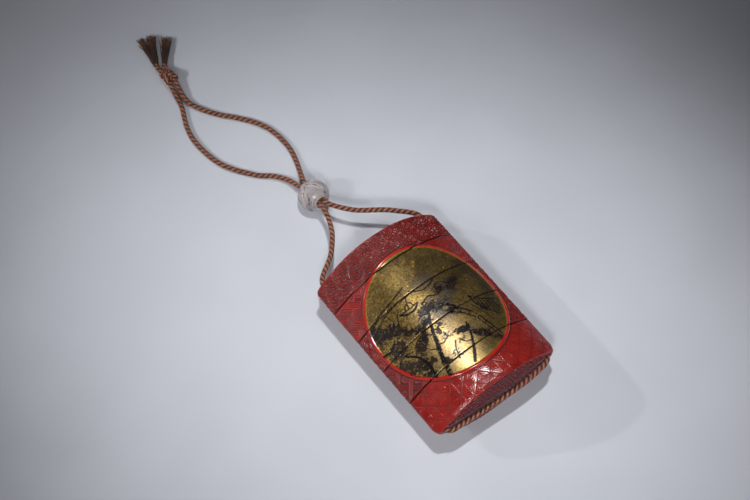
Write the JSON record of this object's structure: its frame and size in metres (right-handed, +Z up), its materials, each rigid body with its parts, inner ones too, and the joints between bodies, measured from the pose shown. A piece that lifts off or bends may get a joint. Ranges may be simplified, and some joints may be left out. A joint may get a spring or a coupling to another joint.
{
  "type": "inro case",
  "caption": "Flat lens-shaped case of stacked nesting boxes with a lid, hung on one silk cord that runs down both sides, under the base and up through a bead to a tied, frayed end.",
  "frame": {"origin": "middle of the case's footprint as it lies on its back", "axes": "+Y along the case from the base to the lid and on along the cord, +X across the case, +Z up out of the picture side"},
  "size_m": [0.062, 0.2459, 0.0284],
  "materials": {
    "lacquer": "carved red lacquer over a thin wooden core, with a round gold lacquer picture",
    "silk": "twisted silk of orange tan and dark brown strands",
    "crystal": "carved and polished smoky crystal"
  },
  "bodies": {
    "root": {"lid": "lacquer", "case_1": "lacquer", "case_2": "lacquer", "case_3": "lacquer", "case_4": "lacquer", "cord_left": "silk", "cord_right": "silk", "cord_under_base": "silk", "cord_in_left_channel": "silk", "cord_in_right_channel": "silk", "bead": "crystal", "knot": "silk", "cord_end_left": "silk", "cord_end_right": "silk"}
  },
  "joints": []
}
